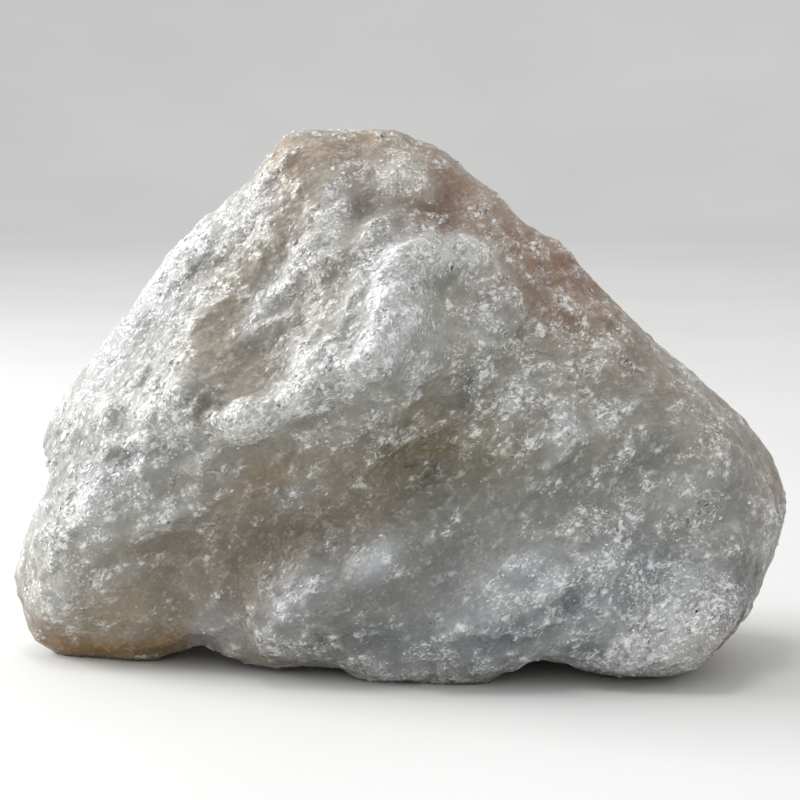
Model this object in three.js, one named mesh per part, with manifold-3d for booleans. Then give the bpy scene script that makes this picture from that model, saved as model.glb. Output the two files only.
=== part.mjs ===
import * as THREE from "three";
import { mergeVertices } from "three/addons/utils/BufferGeometryUtils.js";
import { ImprovedNoise } from "three/addons/math/ImprovedNoise.js";
import Module from "manifold-3d";

// A hand-sized lump of massive talc, broken from its vein and softened by handling.
// It stands on four worn feet like a small mountain: a broad, hummocky front, a flatter
// back and a rim that runs round between them.
// Millimetres. +X is the right of the broad front, +Y runs through the stone to its back,
// +Z is up. The origin is on the ground, under the middle of the stone.

// ---- driving dimensions -------------------------------------------------------------

// The point that the whole skin can be seen from, and the reach of the stone from it.
const HEART = new THREE.Vector3(0, 0, 30);
const REACH = new THREE.Vector3(50, 22, 38);

// The rim, seen from the front and counter-clockwise: how far right, how high, how deep.
const RIM = [
  // right end, from its lower corner up over the round nose
  [44.2, 3.4, -6], [48.2, 7.8, -3], [51.6, 13.6, 0], [53.3, 20.2, 1], [52.2, 25.8, 2],
  // the long slope on the right, up to the crown
  [50.0, 29.6, 1], [44.2, 35.4, 1], [37.5, 41.0, 1], [27.7, 50.6, 1], [23.8, 54.7, 1],
  [17.8, 59.1, 1], [12.9, 63.7, 1], [9.3, 66.8, 1], [5.2, 71.0, 1],
  // the blunt crown
  [0, 71.8, 1], [-9.5, 71.8, 0], [-14.5, 71.5, 0],
  // the straight slope on the left
  [-18.6, 65.8, 0], [-24.5, 60.4, 0], [-32.9, 52.5, 0], [-36.6, 46.8, 0], [-41.7, 40.0, 0],
  [-47.9, 32.6, 1], [-48.1, 27.8, 1],
  // a nick, then the swollen left foot
  [-45.6, 26.0, 0], [-49.2, 19.8, -1], [-52.0, 12.5, 0], [-52.4, 8.4, 0], [-50.2, 2.4, 0],
  [-46.8, -1.8, 0], [-38.5, -2.0, -1], [-34.0, -1.0, -3], [-30.6, 3.0, -7], [-24.4, 4.2, -10],
  // the front of the base: a low sill, the middle foot, a gap and the right foot
  [-22.2, -0.8, -13], [-7.4, -0.8, -15], [-4.6, -2.0, -19], [0.5, -3.0, -22], [7.0, -3.0, -22],
  [12.2, -1.6, -19], [16.6, 2.2, -15], [25.4, 0.4, -15], [31.1, -0.8, -15], [37.1, -0.6, -13],
].map(([x, z, y]) => new THREE.Vector3(x, y, z));

// How much the wall leans in from the rim for each millimetre of depth: in front of the
// rim, behind it, and behind its lowest stretch, where the base carries on.
const FRONT_LEAN = 0.36;
const BACK_LEAN = 0.4;
const BASE_LEAN = -0.25;

// The bumps of the rim run over the stone for this many millimetres before they level out.
const BUMP_RUN = 5;

// The broken faces: a point that each passes through, and the way it looks, as degrees
// turned to the right of straight out of the front, and degrees tipped up.
const FACES = [
  { name: "upper front", through: [-2, -19.0, 45], turned: 0, tipped: 14 },
  { name: "upper left front", through: [-16, -14.8, 50], turned: -8, tipped: 14 },
  { name: "right front", through: [14, -17.2, 45], turned: 8, tipped: 11 },
  { name: "right slope", through: [31, -9, 41], turned: 22, tipped: 32 },
  { name: "lower right front", through: [30, -18.5, 14], turned: 10, tipped: 3 },
  { name: "lower front", through: [2, -22.5, 14], turned: 0, tipped: -1 },
  { name: "left front", through: [-30, -15.5, 26], turned: -13, tipped: 4 },
  { name: "upper left bevel", through: [-30.5, -6, 51.5], turned: -56, tipped: 33 },
  { name: "lower left bevel", through: [-36, -7, 40], turned: -42, tipped: 26 },
  { name: "left end", through: [-49, -6, 16], turned: -62, tipped: 4 },
  { name: "front foot", through: [4, -20.8, 4.5], turned: 3, tipped: -42 },
  { name: "left foot", through: [-36, -14.5, 13], turned: -18, tipped: -36 },
  { name: "main back", through: [2, 20, 22], turned: 184, tipped: 8 },
  { name: "left back", through: [-30, 16, 20], turned: 206, tipped: 6 },
  { name: "right back", through: [32, 16, 18], turned: 153, tipped: 14 },
  { name: "back crown", through: [-4, 12, 60], turned: 176, tipped: 34 },
  { name: "back foot", through: [0, 20, 4], turned: 180, tipped: -44 },
];

// Swellings and hollows, each along a line from one point to another on the side that it
// is on, as [right, up]. Rise is outwards; it falls off over the distances to the left
// and to the right of the line, as it runs, so a short one makes a ledge.
const FRONT_RELIEF = [
  { name: "hollow by the left bevel", from: [-12, 66], to: [-19, 43], rise: -2.6, left: 5, right: 7 },
  { name: "crown streak", from: [-8, 67], to: [-9, 57], rise: 1.0, left: 3.5, right: 3 },
  { name: "crown rib", from: [1, 70], to: [0, 60], rise: 1.1, left: 4, right: 3 },
  { name: "crown pit", from: [6, 67], to: [8, 64], rise: -1.2, left: 4, right: 4 },
  { name: "shoulder lump", from: [8, 58], to: [12, 58], rise: 1.4, left: 3.5, right: 3.5 },
  { name: "upper nose", from: [2, 56], to: [1, 51], rise: 1.8, left: 4, right: 5 },
  { name: "nose", from: [1, 48], to: [-1, 44], rise: 4.0, left: 4.5, right: 6 },
  { name: "lower nose", from: [-5, 43], to: [-20, 36], rise: 3.6, left: 3.5, right: 7 },
  { name: "left lip", from: [-28, 39], to: [-36, 36], rise: 1.3, left: 3.5, right: 6 },
  { name: "undercut", from: [6, 37], to: [2, 29], rise: -3.0, left: 8, right: 5 },
  { name: "long valley", from: [2, 29], to: [-29, 16], rise: -4.0, left: 7, right: 7 },
  { name: "left hollow", from: [-30, 12], to: [-22, 8], rise: -1.6, left: 5, right: 6 },
  { name: "slope groove", from: [25, 53], to: [15, 42], rise: -1.1, left: 3.5, right: 3.5 },
  { name: "right knob", from: [20, 32], to: [22, 36], rise: 1.0, left: 3, right: 3 },
  { name: "right shelf", from: [31, 35], to: [42, 31], rise: 1.2, left: 4, right: 3.5 },
  { name: "right trough", from: [12, 28], to: [34, 27], rise: -1.6, left: 4, right: 5 },
  { name: "end pit", from: [36, 20], to: [38, 22], rise: -1.2, left: 3.5, right: 3.5 },
  { name: "lower boss", from: [-4, 16], to: [0, 18], rise: 2.0, left: 3, right: 3.5 },
  { name: "sill hump", from: [-15, 6], to: [-12, 14], rise: 1.8, left: 4, right: 4 },
  { name: "middle hump", from: [9, 11], to: [20, 16], rise: 1.8, left: 3.5, right: 4 },
  { name: "boss gap", from: [8, 19], to: [4, 12], rise: -0.9, left: 3, right: 3 },
  { name: "right hump", from: [26, 15], to: [28, 19], rise: 1.6, left: 4, right: 4 },
  { name: "right foot swell", from: [32, 4], to: [41, 11], rise: 2.4, left: 5, right: 5 },
];
const BACK_RELIEF = [
  { name: "shell break", from: [-22, 34], to: [6, 46], rise: -3.2, left: 8, right: 12 },
  { name: "shell lip", from: [-26, 27], to: [2, 37], rise: 1.6, left: 3.5, right: 5 },
  { name: "back spur", from: [14, 8], to: [22, 40], rise: 2.6, left: 6, right: 9 },
  { name: "back scoop", from: [-8, 12], to: [4, 20], rise: -2.0, left: 7, right: 7 },
  { name: "high ledge", from: [0, 58], to: [14, 50], rise: 1.8, left: 4, right: 8 },
  { name: "left flake", from: [-40, 12], to: [-30, 24], rise: -1.8, left: 6, right: 4 },
  { name: "right chip", from: [36, 14], to: [42, 24], rise: -1.8, left: 5, right: 5 },
];

// The swellings of the base: middle, radius and height over the ground. The ground cuts
// flat what is below it, which are four worn feet. Between them all, the base arches up.
const SWELLINGS = [
  { name: "front foot", at: [3.5, -15], radius: 11, height: -3 },
  { name: "right foot", at: [34, -6], radius: 11, height: -1 },
  { name: "left foot", at: [-40, 0], radius: 11, height: -2 },
  { name: "back foot", at: [2, 10], radius: 14, height: -1 },
  { name: "sill", at: [-14, -10], radius: 9, height: 0.4 },
];
const ARCH = 2.4;

// How softly one face turns into the next, and how strongly the skin is lumpy.
const SOFTNESS = 1.2;
const LUMPS = [
  { size: 9, rise: 0.9 },
  { size: 4.6, rise: 0.6 },
];
const RIM_CALM = 0.7;
const DETAIL = 21;
// A point of the skin this close to the ground is set on it, so that the cut makes no slivers.
const SNAP = 0.2;

// ---- the shape ----------------------------------------------------------------------

const mix = THREE.MathUtils.lerp;
const smoothstep = THREE.MathUtils.smoothstep;
const turnOf = (x, z) => Math.atan2(z - HEART.z, x - HEART.x);

// The rim as a table from the turn about the heart to its radius and its depth.
const rimTable = new THREE.CatmullRomCurve3(RIM, true, "centripetal")
  .getPoints(RIM.length * 24)
  .map((p) => ({
    turn: turnOf(p.x, p.z),
    radius: Math.hypot(p.x - HEART.x, p.z - HEART.z),
    depth: p.y,
  }))
  .sort((a, b) => a.turn - b.turn);

function rimAt(turn) {
  const wrapped = THREE.MathUtils.euclideanModulo(turn + Math.PI, 2 * Math.PI) - Math.PI;
  const after = rimTable.findIndex((entry) => entry.turn > wrapped);
  const b = rimTable[Math.max(after, 0)];
  const a = rimTable.at(after - 1);
  const share = after > 0 ? (wrapped - a.turn) / (b.turn - a.turn) : 0;
  return { radius: mix(a.radius, b.radius, share), depth: mix(a.depth, b.depth, share) };
}

// The radius of the rim with its bumps levelled out: the mean over some turn either side.
const LEVEL_STEPS = [-4, -3, -2, -1, 0, 1, 2, 3, 4].map((step) => step * 0.035);
const levelRadius = (turn) => LEVEL_STEPS.reduce(
  (sum, step) => sum + rimAt(turn + step).radius, 0) / LEVEL_STEPS.length;

const faces = FACES.map(({ through, turned, tipped }) => {
  const turn = THREE.MathUtils.degToRad(turned);
  const tip = THREE.MathUtils.degToRad(tipped);
  const out = new THREE.Vector3(
    Math.sin(turn) * Math.cos(tip),
    -Math.cos(turn) * Math.cos(tip),
    Math.sin(tip),
  );
  return { out, reach: out.dot(new THREE.Vector3(...through)) };
});

// The height of one side's relief over the point [x, z].
function relief(features, x, z) {
  return features.reduce((sum, { from, to, rise, left, right }) => {
    const alongX = to[0] - from[0];
    const alongZ = to[1] - from[1];
    const length = Math.hypot(alongX, alongZ);
    const share = THREE.MathUtils.clamp(
      ((x - from[0]) * alongX + (z - from[1]) * alongZ) / length ** 2, 0, 1);
    const offX = x - from[0] - share * alongX;
    const offZ = z - from[1] - share * alongZ;
    const side = (alongX * offZ - alongZ * offX) / length;
    const width = mix(right, left, smoothstep(side, -1.5, 1.5));
    return sum + rise * Math.exp(-(offX ** 2 + offZ ** 2) / width ** 2);
  }, 0);
}

// The height of the base over the ground at [x, y].
const baseHeight = (x, y) => Math.min(...SWELLINGS.map(({ at, radius, height }) =>
  mix(ARCH, height, Math.exp(-((Math.hypot(x - at[0], y - at[1]) / radius) ** 4)))));

const noise = new ImprovedNoise();
const lumpiness = (p) => LUMPS.reduce(
  (sum, { size, rise }) => sum + rise * noise.noise(p.x / size, p.y / size, p.z / size), 0);

// A smooth maximum: the logarithm of the sum of the exponentials.
const softMax = (values) => SOFTNESS * Math.log(
  values.reduce((sum, v) => sum + Math.exp(v / SOFTNESS), 0));

// How far a point is outside the stone, in millimetres; it is negative inside. The rim is
// the stretch of it that lies in the point's direction.
function outside(p, rim) {
  const toFront = smoothstep(-p.y, -2, 6);
  const toBack = smoothstep(p.y, 0, 7);
  const spread = Math.hypot(p.x - HEART.x, p.z - HEART.z);
  const calm = smoothstep(rim.level - spread, 0, 5);
  const y = p.y + calm * (toFront * relief(FRONT_RELIEF, p.x, p.z)
    - toBack * relief(BACK_RELIEF, p.x, p.z));
  const off = y - rim.depth;
  const wide = spread - mix(rim.level, rim.radius, Math.exp(-((off / BUMP_RUN) ** 2)));
  const wall = softMax([wide - FRONT_LEAN * off, wide + rim.backLean * off])
    - SOFTNESS * Math.LN2;
  const moved = new THREE.Vector3(p.x, y, p.z);
  const broken = faces.map(({ out, reach }) => out.dot(moved) - reach);
  const onRim = Math.exp(-((off / BUMP_RUN) ** 2) - Math.abs(wide) / 3);
  const lumps = lumpiness(p) * (1 - RIM_CALM * onRim);
  return softMax([wall, baseHeight(p.x, p.y) - p.z, ...broken]) + lumps;
}

// The skin along one ray from the heart: the stretch that holds it is halved again and
// again.
function skinAlong(ray) {
  const turn = Math.atan2(ray.z, ray.x);
  const down = smoothstep(-Math.sin(turn), 0.35, 0.75);
  const rim = {
    ...rimAt(turn),
    level: levelRadius(turn),
    backLean: mix(BACK_LEAN, BASE_LEAN, down),
  };
  let inside = 0;
  let beyond = 2 * REACH.x;
  for (let step = 0; step < 30; step += 1) {
    const middle = (inside + beyond) / 2;
    if (outside(ray.clone().multiplyScalar(middle).add(HEART), rim) < 0) inside = middle;
    else beyond = middle;
  }
  return ray.clone().multiplyScalar(inside).add(HEART);
}

// The skin as one closed mesh: an icosahedral ball whose every point is moved out to it.
function skinGeometry() {
  const ball = new THREE.IcosahedronGeometry(1, DETAIL);
  ball.deleteAttribute("normal");
  ball.deleteAttribute("uv");
  const skin = mergeVertices(ball, 1e-4);
  const position = skin.getAttribute("position");
  for (let i = 0; i < position.count; i += 1) {
    const ray = new THREE.Vector3().fromBufferAttribute(position, i).multiply(REACH).normalize();
    const point = skinAlong(ray);
    position.setXYZ(i, point.x, point.y, Math.abs(point.z) < SNAP ? 0 : point.z);
  }
  return skin;
}

// ---- the cut at the ground ----------------------------------------------------------

const wasm = await Module();
wasm.setup();

function toSolid(geometry) {
  return new wasm.Manifold(new wasm.Mesh({
    numProp: 3,
    vertProperties: new Float32Array(geometry.getAttribute("position").array),
    triVerts: new Uint32Array(geometry.index.array),
  }));
}

function toGeometry(solid) {
  const mesh = solid.getMesh();
  const geometry = new THREE.BufferGeometry();
  geometry.setAttribute("position", new THREE.BufferAttribute(mesh.vertProperties, 3));
  geometry.setIndex(new THREE.BufferAttribute(mesh.triVerts, 1));
  return geometry;
}

// The ground: a slab whose top is at height 0, wider than the stone.
function groundSolid() {
  const slab = new THREE.BoxGeometry(4 * REACH.x, 4 * REACH.x, REACH.z);
  slab.deleteAttribute("normal");
  slab.deleteAttribute("uv");
  slab.translate(0, 0, -REACH.z / 2);
  return toSolid(mergeVertices(slab));
}

// ---- the part -----------------------------------------------------------------------

const stone = toGeometry(toSolid(skinGeometry()).subtract(groundSolid()));
stone.computeBoundingBox();
const middle = stone.boundingBox.getCenter(new THREE.Vector3());
stone.translate(-middle.x, -middle.y, 0);
stone.computeVertexNormals();

const talc = new THREE.MeshStandardMaterial({ color: 0xcfccc4, roughness: 0.5, metalness: 0 });
const rock = new THREE.Mesh(stone, talc);
rock.name = "talc_rock";

const part = new THREE.Group();
part.add(rock);

export default part;
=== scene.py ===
"""A hand-sized lump of massive talc: sugary white frost over a waxy, translucent body.

The skin is one closed surface over the solid stone, with the lumps and broken plates that are
too fine for the solid. Small crystals of talc stand half out of it where it is frosted. All
lengths in this file are in millimetres unless a name or a unit says otherwise, and the meshes
are in metres.
"""
import math
from collections import namedtuple

import bpy
import numpy as np
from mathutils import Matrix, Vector


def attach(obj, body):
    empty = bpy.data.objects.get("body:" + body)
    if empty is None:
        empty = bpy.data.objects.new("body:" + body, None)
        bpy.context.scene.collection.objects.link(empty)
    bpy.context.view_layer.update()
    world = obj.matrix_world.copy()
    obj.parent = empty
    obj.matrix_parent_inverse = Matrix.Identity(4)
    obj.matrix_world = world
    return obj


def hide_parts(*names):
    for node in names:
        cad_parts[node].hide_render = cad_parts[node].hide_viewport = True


bl_info = {
    "name": "Talc Rock",
    "version": (1, 0, 0),
    "blender": (4, 5, 0),
    "location": "3D View > Sidebar > Talc Rock",
    "description": "Makes the broken, sugary skin of a lump of massive talc, and a studio for it",
    "category": "Add Mesh",
}

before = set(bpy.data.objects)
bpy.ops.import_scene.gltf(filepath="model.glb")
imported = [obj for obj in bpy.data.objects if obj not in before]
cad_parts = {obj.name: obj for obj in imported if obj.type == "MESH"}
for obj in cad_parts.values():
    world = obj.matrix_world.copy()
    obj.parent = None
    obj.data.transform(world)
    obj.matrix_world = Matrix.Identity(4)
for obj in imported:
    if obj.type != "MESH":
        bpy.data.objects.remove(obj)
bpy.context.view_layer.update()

NODE = "talc_rock"
MM = 0.001

# The skin's points are dealt out on a box of cells, blown up round the heart of the stone.
HEART = np.array([0.0, 0.0, 30.0])  # the point that all of the skin can be seen from
REACH = np.array([50.0, 22.0, 38.0])  # how far the stone reaches from it
CELLS = (184, 72, 136)  # along X, Y and Z
START_AWAY = 90  # the skin starts this far out, and shrinks onto the solid
MISSED_AWAY = 80  # a point that is still this far out has missed the solid
MISSED_SHARE = 0.001  # and more than this share of such points is a fault
FOOT_BAND = 0.03  # a point lower than this lies in a flat foot, and stays on the ground
FACET_ROUNDS = 16  # rounds of easing that take the solid's facets away
HOLLOW_ROUNDS = 24  # rounds of easing that level what is a few millimetres wide

# Between these depths the patches of the front give way to the drifts of the back.
SEAM = (-1, 8)

# Smooth swells and broken plates of the skin: their size, their share and their seed.
FROST_SWELLS = ((5.5, 0.25, 11), (2.6, 0.6, 12), (1.3, 0.75, 13))
LUMPS = ((3.2, 1.0, 1), (1.6, 0.7, 2))
PLATES = ((2.6, 1.0, 20), (1.35, 0.6, 30))

USUAL_FROST = 0.56  # about 0 is bare wax, and from 1.6 on it is as thick as it gets
PATCH_FROST = 0.4  # a patch's frost counts for this much

# Behind, where no patch reaches, broad drifts take their place: frosted or waxy, warm or cool.
# Their size, their share and their seed.
FROST_DRIFT = (13, 0.5, 14)
COLOUR_DRIFT = (17, 0.6, 15)
WARM_DRIFT, COOL_DRIFT = "#a88a66", "#a3adb2"

# Grains of the broken face, each size as times the usual width, share of the tilt, and share
# of the dome.
GRAIN_SIZES = ((3.6, 0.6, 0.8), (1.9, 0.9, 1.1), (1.0, 1.0, 0.9), (0.6, 0.5, 0.6))
WAVER = 1.6  # width of the waves that curve the rows of grains
WAVER_REACH = 0.5  # and how far they push a grain
LACE = 0.9  # width of the meshes of fine ridges between the grains
LACE_HEIGHT = 0.1  # how high the ridges stand
CLUSTER = 1.8  # width of the clusters that frosted grains crowd into
CLOUD = 4.5  # width of the clouds in the waxy body
TALC_IOR = 1.57

# A crystal: four corners, a blunt top and a root in the stone, as shares of its length, width
# and height, and its eight triangles. Each corner strays at random by up to CORNER_STRAY.
CRYSTAL_POINTS = np.array(
    [[0.5, 0, 0], [0, 0.5, 0], [-0.5, 0, 0], [0, -0.5, 0], [0, 0, 0.8], [0, 0, -1.2]]
)
CRYSTAL_FACES = np.array(
    [[0, 1, 4], [1, 2, 4], [2, 3, 4], [3, 0, 4], [1, 0, 5], [2, 1, 5], [3, 2, 5], [0, 3, 5]]
)
CORNER_STRAY = 0.18
CRYSTAL_FLOOR = 0.05  # no crystal reaches lower than this over the ground
CRYSTAL_FREE = 0.4  # and none is set on a quad that is wholly lower than this

# Where the stone differs from its usual self, as right and up seen from the front, half its
# length, half its width, the angle of its length in degrees, its colour, how much of that
# colour it takes on, how much more (or less) it is frosted, and how far it rises. A later
# patch's colour lies over an earlier one's. Many patches paint light and shade as well as
# the stone's own colours. The dark, less frosted ones in dips, hollows, gaps, the undercut
# and the valley, under the feet and on faces turned from the key light are painted shade
# over the real wax and brown stains. The palest, most frosted ones on crests that face the
# light are painted light over real frost.
Patch = namedtuple("Patch", "name right up long wide angle colour tint frost rise")
PATCHES = [Patch(*row) for row in (
    # name, right, up, long, wide, angle, colour, tint, frost, rise
    # the crown
    ("upper warmth", 0, 56, 30, 16, 0, "#b3a38f", 0.4, 0.0, 0),
    ("crown beige", -6, 69, 9, 3.2, 0, "#b99c78", 0.9, -0.1, 0),
    ("crown brown", 5, 60.8, 8, 3, -25, "#80603e", 1.1, -0.8, -0.4),
    ("crown rim brown", 3, 72.4, 7, 2.4, -10, "#8c6840", 1.1, -1.0, 0),
    ("crown notch", -6, 69.3, 2.4, 2, 60, "#a0835c", 1.1, -0.9, -0.3),
    ("crown rust", 6.5, 63.6, 4, 2.2, -40, "#8f623b", 1.2, -1.3, 0),
    ("crown dip", -4.5, 61.8, 2.8, 2, 40, "#6f5e49", 1.2, -1.3, -0.3),
    ("crown top", 0, 66.2, 5, 2.4, -10, "#dcd1c1", 1.0, 1.9, 0.4),
    ("crown cluster", -0.8, 65.4, 2.6, 1.5, 15, "#e2dacd", 1.0, 2.2, 0.7),
    ("crown cluster low", 3, 64.4, 2, 1.3, -20, "#dcd2c2", 1.0, 1.8, 0.5),
    ("crown streak", -9, 59.3, 7, 2.2, 75, "#cecac2", 1.0, 2.7, 0.3),
    ("crown pebble", 10.5, 61.8, 2.4, 1.5, 20, "#cbbfad", 1.0, 1.4, 0.5),
    ("crown edge", -12.5, 73, 5, 1.6, 0, "#b4b2ae", 0.8, 0.3, 0),
    ("crown corner", -15, 67.2, 4, 2.5, 80, "#a2835a", 1.0, -0.7, 0),
    # the long bevel at the left, and the hollow beside it; the hollow's dark patches are painted
    # shade over its wax, and the bevel's palest ones are partly painted light over real frost
    ("upper bump", -3.5, 57.5, 4, 2, 60, "#c5c2bb", 0.8, 1.2, 1.4),
    ("left bevel", -32.6, 47.8, 19, 4.5, 46, "#d8d9d9", 0.9, 1.5, 0),
    ("bevel edge", -28.5, 56.3, 6, 2.8, 42, "#d8d6d1", 1.1, 3.0, 0.6),
    ("bevel dip", -25.3, 53.5, 4.4, 1.8, 45, "#777062", 1.0, -1.4, 0),
    ("bevel foot", -33, 45, 6.5, 3, 46, "#918e87", 0.9, -1.2, -0.3),
    ("hollow rim", -23.5, 46.5, 4, 1.8, 55, "#887c6a", 1.0, -1.1, -0.1),
    ("hollow foot", -18.5, 40.2, 6, 1.6, 38, "#776b59", 1.1, -1.3, -0.5),
    ("high hollow", -14.3, 57.6, 5.5, 2.2, 70, "#7d6f5b", 1.0, -1.5, 0),
    ("gap", -6.3, 54.3, 3.4, 1.6, 30, "#827764", 1.1, -1.2, -0.6),
    ("hollow inner", -12, 49, 3.4, 1.6, 60, "#8a7f6c", 0.9, -1.1, -0.1),
    ("left hollow", -21.5, 52, 7, 2.6, 55, "#a89b86", 0.9, -0.2, -0.1),
    ("hollow right", -16, 43.2, 5, 2.2, 50, "#665d4e", 1.2, -1.5, -0.6),
    ("low hollow", -20, 40.5, 6, 2.6, 62, "#8e7e66", 1.0, -0.7, -0.3),
    ("hollow wax", -24.3, 41.2, 5, 3, 60, "#a3947a", 1.1, -1.5, -0.1),
    ("hollow lump", -16, 50.5, 6.5, 1.9, 55, "#c5c4c0", 1.0, 1.8, 0.7),
    # the slope on the right
    ("right slope brown", 20, 53, 18, 4.5, -42, "#a38060", 1.0, 0.1, -0.1),
    ("rim flecks", 21.7, 57, 3, 1.8, -40, "#d0c2b0", 1.0, 2.4, 0.5),
    ("rim brown", 23, 52.3, 6, 2.4, -42, "#95704f", 1.1, -0.5, -0.2),
    ("slope rust", 20, 50.3, 5, 2.6, -42, "#986f4c", 1.0, -0.4, 0),
    ("chin brown", 2, 37, 3, 2.4, 60, "#a0937c", 0.8, 0.0, 0),
    ("slope brown dip", 18, 49.5, 2.6, 1.6, 60, "#94785e", 0.9, -1.0, -0.3),
    ("right rim", 42, 36, 12, 3.5, -45, "#ab9d8b", 0.8, 0.0, 0),
    ("rim grains", 39, 38.5, 3, 1.6, -45, "#c0b8ac", 0.7, 1.0, 0.3),
    ("end rim warmth", 50, 22, 7, 2, 85, "#a38b78", 0.9, -0.2, 0),
    # the shoulder and the nose in the middle of the front
    ("shoulder", 7, 54.6, 6, 2.6, -5, "#dcd7cf", 1.0, 2.1, 1.2),
    ("shoulder cluster", 8, 56.9, 2.6, 1.4, -10, "#e0dcd4", 1.0, 2.2, 0.8),
    ("shoulder cluster left", 1, 56.2, 2.4, 1.4, 40, "#dedad3", 1.0, 2.0, 0.8),
    ("shoulder cluster low", 5, 54, 2.2, 1.3, 10, "#dedad3", 1.0, 1.8, 0.5),
    ("shoulder end", 1, 54, 4, 3, 30, "#cecac3", 0.9, 2.0, 1.5),
    ("right cheek", 11.5, 46.3, 3.6, 2.6, 50, "#c4c5c0", 0.9, 1.6, 0.6),
    ("nose", -4, 50, 10, 3.8, 68, "#bfc1c0", 0.6, 0.9, 0.2),
    ("nose ridge", -1.2, 45, 7, 3.4, 66, "#d3d5d3", 0.9, 1.0, 0.9),
    ("nose cluster low", -6, 41.3, 2.4, 1.4, 60, "#dcdddb", 1.0, 2.2, 0.5),
    ("nose cluster mid", 0.8, 47.4, 2.2, 1.3, 40, "#dcdddb", 1.0, 2.2, 0.5),
    ("nose cluster", -3.4, 45.4, 2.4, 1.6, 50, "#dfe0de", 1.0, 2.6, 0.5),
    ("nose cluster high", -1.8, 51.5, 2.8, 1.5, 60, "#dcdddb", 1.0, 2.2, 0.5),
    ("nose cluster right", 1.8, 42, 2.4, 1.3, 60, "#d6d8d5", 1.0, 1.9, 0.4),
    ("nose groove", -6.3, 45.5, 4.4, 1.5, 65, "#8b8980", 1.0, -1.3, -0.4),
    ("nose flank", 3.4, 43.5, 5.5, 2.2, 66, "#c8cac6", 0.8, 0.3, 0.6),
    ("nose cheek", -10, 42.3, 3.8, 2.2, 60, "#cbcac6", 0.9, 1.2, 1.0),
    ("cheek cluster", -12.4, 43.2, 2.2, 1.5, 60, "#dedcd7", 1.0, 1.8, 0.7),
    ("nose green", 5.5, 51.5, 3.5, 2, 60, "#a3a89b", 0.9, -0.8, 0),
    ("cheek foot", 16.5, 39, 2.4, 2, 50, "#9b9a94", 0.8, -0.9, -0.2),
    ("cheek shadow", 8.5, 38, 6, 2.8, 55, "#8f8e86", 0.9, -0.6, -0.4),
    # under the nose: the chin, the lip at the left and the undercut, whose dark patches are
    # painted shade over olive wax
    ("lower nose", -16.5, 36.2, 7.5, 2.6, 20, "#cbc9c3", 1.0, 1.6, 1.3),
    ("lower nose cluster", -13.3, 38.2, 2.6, 1.5, 40, "#dfddd8", 1.0, 2.0, 0.8),
    ("lower nose lip", -18.5, 36.2, 3, 1.4, 15, "#dfddd8", 1.0, 2.2, 0.7),
    ("chin tip", 0, 31.5, 2.6, 1.6, 20, "#b9b7ae", 0.8, 1.2, 0.4),
    ("chin", -4.5, 35.5, 4, 2, 30, "#c1bfb8", 0.7, 0.8, 0.6),
    ("below cheek", 14.3, 37, 3, 1.8, 60, "#cacac6", 0.9, 2.0, 0.7),
    ("left lip", -30, 34.3, 9, 4.6, 38, "#cfcfcb", 0.9, 2.6, 1.2),
    ("lip back", -36, 38.6, 4, 1.8, 40, "#a3a19b", 0.9, -0.9, -0.2),
    ("undercut olive", 3, 30.5, 9, 4.5, 25, "#8c7a52", 1.0, -0.6, 0),
    ("undercut deep", 5, 28, 3, 2, 30, "#736a4e", 1.1, -0.8, -0.3),
    ("undercut floor", 9, 27, 6, 3, 30, "#858068", 0.9, -0.8, -0.3),
    # the valley below, and the boss in it; the valley's dark patches are painted shade over
    # its olive wax
    ("boss gap", 4, 21, 7, 4.5, 50, "#858378", 1.0, -0.8, -0.3),
    ("valley olive", -12, 20.5, 11, 4.4, 18, "#8f7855", 1.0, -0.8, -0.2),
    ("valley wax", -17, 27, 8, 3.5, 30, "#a28d6c", 0.9, -0.4, 0),
    ("lower band", -10, 14.5, 26, 6, 6, "#86837b", 0.5, -0.9, -0.2),
    ("left shade", -29, 18, 5, 2.4, 20, "#8f7f66", 0.9, -0.8, -0.4),
    ("valley flecks", -13.5, 24.8, 4, 2, 50, "#b8b5ad", 0.8, 2.1, 0.6),
    ("lower valley", -20, 15.5, 9, 4.2, 42, "#7f7058", 1.0, -1.0, -0.2),
    ("boss left dip", -9, 18, 3.2, 2.4, 60, "#746c5c", 1.1, -1.1, -0.3),
    ("lower front dip", -6, 12, 5, 3, 60, "#7c7c78", 0.9, -1.0, -0.5),
    ("right of boss", 6.5, 17.8, 5, 3, 55, "#84817c", 0.9, -1.1, -0.6),
    # the front of the base
    ("sill dip", -2.2, 6.8, 7.5, 3.4, 4, "#60605e", 1.1, -1.3, -1.5),
    ("front rim", -4, 2.2, 6, 1.6, -10, "#b0afad", 0.9, 1.8, 0.3),
    ("front toe", 27.5, 3.8, 5, 1.8, 0, "#c4c6c7", 1.0, 2.8, 0.6),
    ("toe grains", 11, 4.5, 3, 1.6, 0, "#b9bfc4", 0.9, 1.4, 0.4),
    # the left end and the face beside it
    ("left end", -47, 21, 9, 5, 80, "#c1c1be", 0.5, 0.6, 0),
    ("left face", -36, 27, 11, 5, 30, "#bebdb9", 0.6, 0.3, 0),
    ("left grains", -30, 22.5, 6, 2, 32, "#c4c3be", 0.8, 1.1, 0.8),
    ("left face edge", -39.3, 24, 5, 3, 75, "#d0d2ce", 1.0, 2.6, 1.0),
    ("left end grains", -45.3, 9.5, 5, 2.4, 60, "#c4c8cb", 0.9, 2.0, 0.6),
    ("left face dip", -37.5, 29, 7, 2.6, 8, "#83827c", 1.0, -1.3, -0.4),
    ("left end dip", -45.5, 26.5, 4, 2.4, 80, "#92918b", 0.9, -1.0, -0.3),
    ("left notch", -46.5, 30.5, 2.4, 3, 90, "#97968f", 0.9, -0.9, -0.3),
    ("left lip end", -38, 35.5, 3.4, 1.8, 10, "#bcbbb7", 0.8, 1.6, 0.6),
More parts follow.
